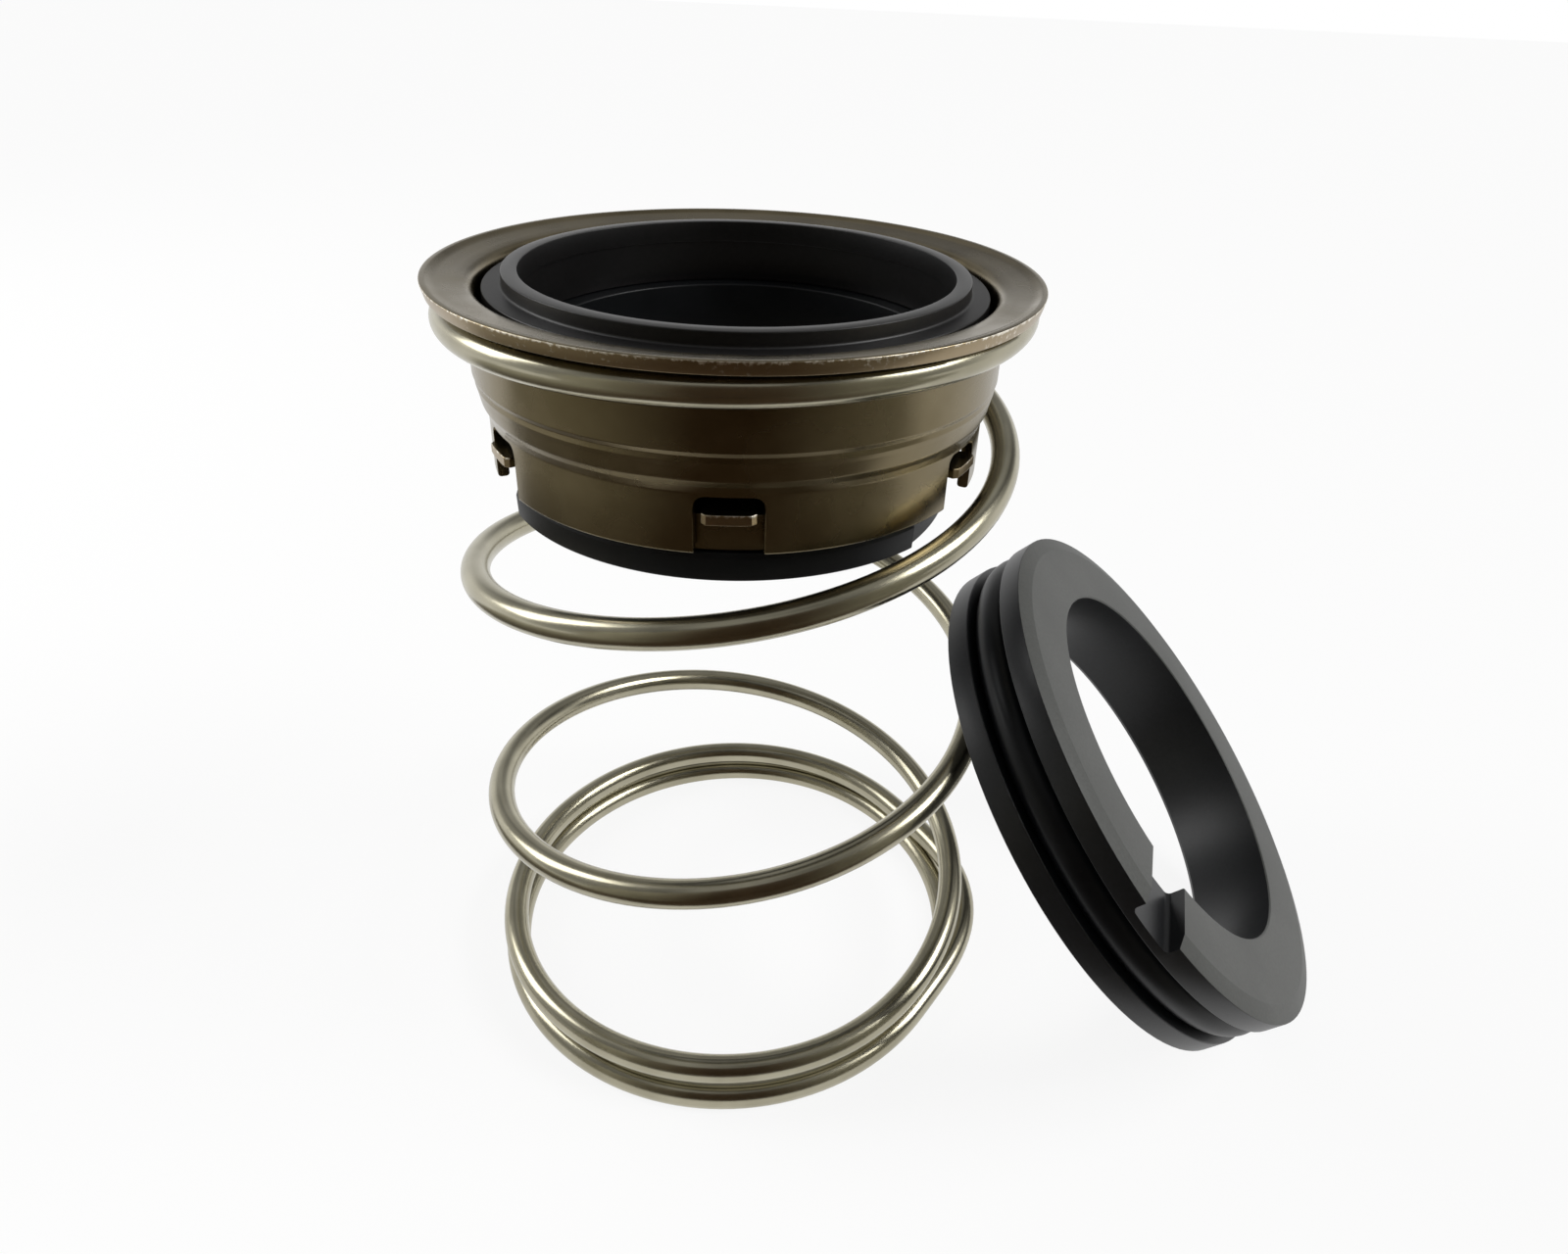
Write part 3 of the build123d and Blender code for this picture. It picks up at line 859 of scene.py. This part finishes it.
class SEAL_OT_spring(bpy.types.Operator):
    """Wind the coil spring, closed and ground at both ends"""

    bl_idname = "seal.spring"
    bl_label = "Coil Spring"

    def execute(self, context):
        size = context.scene.shaft_seal.spring
        # the tree's inputs are named for the spring's sizes, apart from the two that only the pitches need
        sizes = [name for name in SpringSizes.__annotations__ if name not in ("taper", "foot_height")]
        values = {name.replace("_", " ").title(): getattr(size, name) for name in sizes}
        values |= {"Upper Arc": math.tau, "Half Step Arc": size.step_arc / 2}
        # the open coils take up the height that the closed ones leave
        values |= {"Wide Pitch": 0.0, "Narrow Pitch": 0.0}
        closed_drop = sum(values[arc] * (values[a] + values[b]) / 2 / math.tau for arc, a, b in STRETCHES)
        open_drop = size.height + size.wire / 4 - size.foot_height - closed_drop
        open_pitch = open_drop * math.tau / (size.open_arc + size.ease_arc)
        values["Wide Pitch"] = open_pitch * (1 + size.taper)
        values["Narrow Pitch"] = open_pitch * (1 - size.taper)
        tree = spring_tree(values)
        wire = drawn_wire(context.scene.shaft_seal.colours)
        host = bpy.data.objects.new("spring_host", bpy.data.meshes.new("spring_host"))
        context.scene.collection.objects.link(host)
        made = run_tree(tree, host, {**values, "Material": wire}, "spring_wire")
        made.data.shade_smooth()
        made.data.set_sharp_from_angle(angle=math.radians(40))
        finish_piece(made, "spring", "base", "spring_wire", wire)
        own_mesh(made)
        return {"FINISHED"}


def seat_place(size):
    """The seat's own frame: origin in its lapped face, Z along its axis and out of that face."""
    out = Vector(
        (
            math.cos(size.lean) * math.cos(size.turn),
            math.cos(size.lean) * math.sin(size.turn),
            math.sin(size.lean),
        )
    )
    side = Vector((-math.sin(size.turn), math.cos(size.turn), 0))
    up = out.cross(side)
    return Matrix.Translation(size.centre) @ Matrix((side, up, out)).transposed().to_4x4()


class SEAL_OT_seat_ring(bpy.types.Operator):
    """Make the stationary seat with its O-ring groove and one notch across the lapped face"""

    bl_idname = "seal.seat_ring"
    bl_label = "Seat Ring"

    def execute(self, context):
        size = context.scene.shaft_seal.seat
        bore, face, radius = size.bore / MM, size.face_radius / MM, size.radius / MM
        groove, back, end = size.groove_radius / MM, size.back_radius / MM, -size.thickness / MM
        front, far = -size.groove_front / MM, -size.groove_end / MM
        width, depth, notch = size.notch_width / MM / 2, size.notch_depth / MM, size.notch_at
        section = rounded(
            [
                (bore + 0.15, 0, 0.04),
                (face, 0, 0.1),
                (radius, -0.5, 0.1),
                (radius, front, 0.12),
                (groove, front, 0.15),
                (groove, far, 0.15),
                (back, far, 0.12),
                (back, end + 0.1, 0.02),
                (back - 0.1, end, 0.02),
                (bore + 0.4, end, 0.08),
                (bore, end + 0.4, 0.1),
                (bore, -0.15, 0.04),
            ]
        )
        # columns run parallel to the notch inside it, and fan out evenly beyond it
        bend, fan = 0.5, 110
        flat = width - bend
        floor = [(offset, -depth) for offset in (0.0, 0.5, 1.0, 1.5, flat)]
        for k in range(1, 7):
            a = k * math.pi / 12
            floor.append((flat + bend * math.sin(a), -depth + bend * (1 - math.cos(a))))
        bm = bmesh.new()
        loops = []
        for offset, level in [(-offset, level) for offset, level in reversed(floor[1:])] + floor:
            loops.append([at(p.x, notch + math.asin(offset / p.x), min(p.y, level)) for p in section])
        for k in range(fan + 1):
            loop = []
            for p in section:
                edge = math.asin(width / p.x)
                loop.append(at(p.x, notch + edge + k / fan * (math.tau - 2 * edge), p.y))
            loops.append(loop)
        skin(bm, loops)
        place = seat_place(size)
        made = piece(bm, "seat_ring_carbide", place)
        colours = context.scene.shaft_seal.colours
        tones = (colours.seat_side_dark, colours.seat_side)
        side = carbide("fired_silicon_carbide_side", *tones, 0.35, 0.38, 0.2)
        ground = carbide("ground_silicon_carbide_face", colours.seat_dark, colours.seat, 0.3, 0.5, 0.12)
        finish_piece(made, "seat_ring", "base", "seat_ceramic", side, ground)
        out = place.to_3x3() @ Vector((0, 0, 1))
        paint(made, 1, lambda c, n: n.dot(out) > 0.55 and (c * MM - place.translation).dot(out) > -0.001)
        soften(made, 0.1)
        return {"FINISHED"}


class SEAL_OT_seat_o_ring(bpy.types.Operator):
    """Make the O-ring in the seat's groove"""

    bl_idname = "seal.seat_o_ring"
    bl_label = "Seat O-Ring"

    def execute(self, context):
        size = context.scene.shaft_seal.seat
        middle = -(size.groove_front + size.groove_end) / 2 / MM
        ring, thick = size.ring_radius / MM, size.ring_section / MM
        angles = [k * math.tau / 28 for k in range(28)]
        section = [Vector((ring + thick * math.cos(a), middle + thick * math.sin(a))) for a in angles]
        made = turned("seat_o_ring_rubber", section, even_angles(200), seat_place(size))
        colours = context.scene.shaft_seal.colours
        moulded = rubber("moulded_o_ring_rubber", colours.o_ring, colours.bloom, 0.38)
        finish_piece(made, "seat_o_ring", "base", "o_ring_rubber", moulded)
        return {"FINISHED"}


# ---------------------------------------------------------------- stage


def floor_finish(colours):
    """Pale bench top: matt, and a little brighter to the eye than its light makes it."""
    material = bpy.data.materials.new("pale_bench_top")
    material.use_nodes = True
    tree = material.node_tree
    tree.nodes.clear()
    matt = add(tree, "ShaderNodeBsdfDiffuse", {"Color": linear(colours.floor)})
    bright = add(tree, "ShaderNodeEmission", {"Color": (1, 1, 1, 1), "Strength": 1.0})
    path = add(tree, "ShaderNodeLightPath").outputs
    looked_at = {0: path["Is Camera Ray"], 1: path["Is Glossy Ray"]}
    seen = add(tree, "ShaderNodeMath", looked_at, operation="MAXIMUM")
    # the other 12 hundredths keep the shadow
    share = add(tree, "ShaderNodeMath", {0: seen.outputs[0], 1: 0.88}, operation="MULTIPLY")
    both = add(tree, "ShaderNodeMixShader", {0: share.outputs[0], 1: matt.outputs[0], 2: bright.outputs[0]})
    add(tree, "ShaderNodeOutputMaterial", {"Surface": both.outputs[0]})
    return material


def room_light(scene):
    """World: a white sweep low behind the object, and above it a dim room with lighter and darker parts."""
    world = bpy.data.worlds.new("soft_room")
    world.use_nodes = True
    tree = world.node_tree
    tree.nodes.clear()
    direction = add(tree, "ShaderNodeTexCoord").outputs["Generated"]
    spread = add(tree, "ShaderNodeSeparateXYZ", {0: direction})
    rearward = {"Value": spread.outputs[1], "From Min": -0.35, "From Max": 0.35}
    behind = add(tree, "ShaderNodeMapRange", rearward, interpolation_type="SMOOTHSTEP")
    upward = {"Value": spread.outputs[2], "From Min": 0.1, "From Max": 0.36, "To Min": 1.0, "To Max": 0.0}
    low = add(tree, "ShaderNodeMapRange", upward, interpolation_type="SMOOTHSTEP")
    sweep = add(tree, "ShaderNodeMath", {0: behind.outputs[0], 1: low.outputs[0]}, operation="MULTIPLY")
    walls = {"Vector": direction, "Scale": 2.2, "Detail": 1.0, "Roughness": 0.4}
    parts = add(tree, "ShaderNodeTexNoise", walls).outputs["Fac"]
    dim = {"Value": parts, "From Min": 0.35, "From Max": 0.65, "To Min": 0.08, "To Max": 0.44}
    room = add(tree, "ShaderNodeMapRange", dim)
    shade = add(tree, "ShaderNodeMix", {0: sweep.outputs[0], 2: room.outputs[0], 3: 1.0})
    back = add(tree, "ShaderNodeBackground", {"Color": (1, 1, 1, 1), "Strength": shade.outputs[0]})
    add(tree, "ShaderNodeOutputWorld", {"Surface": back.outputs[0]})
    scene.world = world


def soft_box(name, place, aim, size, power):
    """An area lamp that looks at a point, sizes in metres and power in watts."""
    lamp = bpy.data.lights.new(name, "AREA")
    lamp.shape = "RECTANGLE"
    lamp.size, lamp.size_y = size
    lamp.energy = power
    made = bpy.data.objects.new(name, lamp)
    made.location = place
    made.rotation_euler = (Vector(aim) - Vector(place)).to_track_quat("-Z", "Y").to_euler()
    bpy.context.scene.collection.objects.link(made)


def day_light(source, spread, strength):
    """Even light from one direction, as soft as its angular spread."""
    lamp = bpy.data.lights.new("day_light", "SUN")
    lamp.angle = math.radians(spread)
    lamp.energy = strength
    made = bpy.data.objects.new("day_light", lamp)
    made.rotation_euler = Vector(source).to_track_quat("Z", "Y").to_euler()
    bpy.context.scene.collection.objects.link(made)


def plate(name, corners, material):
    """A flat stage piece from its corners in metres."""
    mesh = bpy.data.meshes.new(name)
    mesh.from_pydata(corners, [], [range(len(corners))])
    mesh.materials.append(material)
    made = bpy.data.objects.new(name, mesh)
    bpy.context.scene.collection.objects.link(made)
    return made


def painted_shade_card_finish(colours):
    """Matt card painted with shade for reflections: dark in the middle, lighter towards its sides, which
    gives the bright metal a painted dark middle.
    """
    middle, dark_to, light_from = -0.006, 0.04, 0.17  # in metres across the card
    material, tree, shader, where = surface("matt_card_painted_shade")
    across = add(tree, "ShaderNodeSeparateXYZ", {0: where})
    aside = add(tree, "ShaderNodeMath", {0: across.outputs[0], 1: middle}, operation="SUBTRACT")
    far = add(tree, "ShaderNodeMath", {0: aside.outputs[0]}, operation="ABSOLUTE")
    fading = {"Value": far.outputs[0], "From Min": dark_to, "From Max": light_from}
    fade = add(tree, "ShaderNodeMapRange", fading).outputs[0]
    # painted reflection: the card fades from its dark middle to lighter sides
    tones = {"Factor": fade, "A": linear(colours.card), "B": linear(colours.card_side_painted_light)}
    tone = add(tree, "ShaderNodeMix", tones, data_type="RGBA")
    fill(tree, shader, {"Base Color": tone.outputs["Result"], "Roughness": 0.9})
    return material


class SEAL_OT_stage(bpy.types.Operator):
    """Set the pale bench, the soft light and the camera"""

    bl_idname = "seal.stage"
    bl_label = "Stage"

    def execute(self, context):
        scene = context.scene
        colours = scene.shaft_seal.colours
        plate("bench", [(-6, -6, 0), (6, -6, 0), (6, 6, 0), (-6, 6, 0)], floor_finish(colours))
        # a standing card and a mat at its foot, which only reflections see: painted shade that the metal
        # mirrors
        painted_shade_finish = painted_shade_card_finish(colours)
        left, right, front, card_top = -0.3, 0.34, -0.15, 0.2
        corners = [(left, front, 0), (right, front, 0), (right, front, card_top), (left, front, card_top)]
        card = plate("dark_card", corners, painted_shade_finish)
        near, wing = -0.045, 0.05
        outline = [(left, front), (right, front), (right, near), (-0.04, near), (-0.09, wing), (left, wing)]
        mat = plate("dark_mat", [(x, y, MM) for x, y in outline], painted_shade_finish)
        for dark in (card, mat):
            dark.visible_camera = dark.visible_diffuse = dark.visible_shadow = False
        room_light(scene)
        day_light((0.75, -0.1, 0.65), 30, 2.0)
        soft_box("left_box", (-0.4, 0.1, 0.3), (0.0, 0.0, 0.05), (0.2, 0.3), 0.9)

        lens = bpy.data.cameras.new("camera")
        lens.sensor_width = 36.0
        lens.lens = 24.674
        lens.shift_x, lens.shift_y = -0.02503, -0.06398
        lens.clip_start, lens.clip_end = 0.005, 20.0
        camera = bpy.data.objects.new("camera", lens)
        pitch, yaw, roll = 0.465938161, 0.0883616832, 0.0478654958
        ahead = Vector((math.sin(yaw) * math.cos(pitch), math.cos(yaw) * math.cos(pitch), -math.sin(pitch)))
        right = Vector((math.cos(yaw), -math.sin(yaw), 0))
        up = right.cross(ahead)
        tilted_right = math.cos(roll) * right + math.sin(roll) * up
        tilted_up = math.cos(roll) * up - math.sin(roll) * right
        frame_axes = Matrix((tilted_right, tilted_up, -ahead)).transposed().to_4x4()
        camera.matrix_world = Matrix.Translation((0, -0.09746, 0.10209)) @ frame_axes
        scene.collection.objects.link(camera)
        scene.camera = camera
        scene.view_settings.view_transform = "Standard"
        return {"FINISHED"}


# ---------------------------------------------------------------- add-on


class SEAL_PT_panel(bpy.types.Panel):
    """Lists the pieces of the shaft seal"""

    bl_idname = "SEAL_PT_panel"
    bl_label = "Shaft Seal"
    bl_space_type = "VIEW_3D"
    bl_region_type = "UI"
    bl_category = "Shaft Seal"

    def draw(self, context):
        for operator in OPERATORS:
            self.layout.operator(operator.bl_idname)


OPERATORS = (
    SEAL_OT_retainer_shell,
    SEAL_OT_face_ring,
    SEAL_OT_drive_ring,
    SEAL_OT_boot,
    SEAL_OT_spring,
    SEAL_OT_seat_ring,
    SEAL_OT_seat_o_ring,
    SEAL_OT_stage,
)
CLASSES = (HeadSizes, SpringSizes, SeatSizes, SealColours, SealSettings, *OPERATORS, SEAL_PT_panel)


def register():
    for each in CLASSES:
        bpy.utils.register_class(each)
    bpy.types.Scene.shaft_seal = PointerProperty(
        type=SealSettings, name="Shaft Seal", description="Sizes and colours of the shaft seal"
    )


def unregister():
    del bpy.types.Scene.shaft_seal
    for each in reversed(CLASSES):
        bpy.utils.unregister_class(each)


def main():
    register()
    bpy.ops.seal.retainer_shell()
    bpy.ops.seal.face_ring()
    bpy.ops.seal.drive_ring()
    bpy.ops.seal.boot()
    bpy.ops.seal.spring()
    bpy.ops.seal.seat_ring()
    bpy.ops.seal.seat_o_ring()
    bpy.ops.seal.stage()


if __name__ == "__main__":
    main()
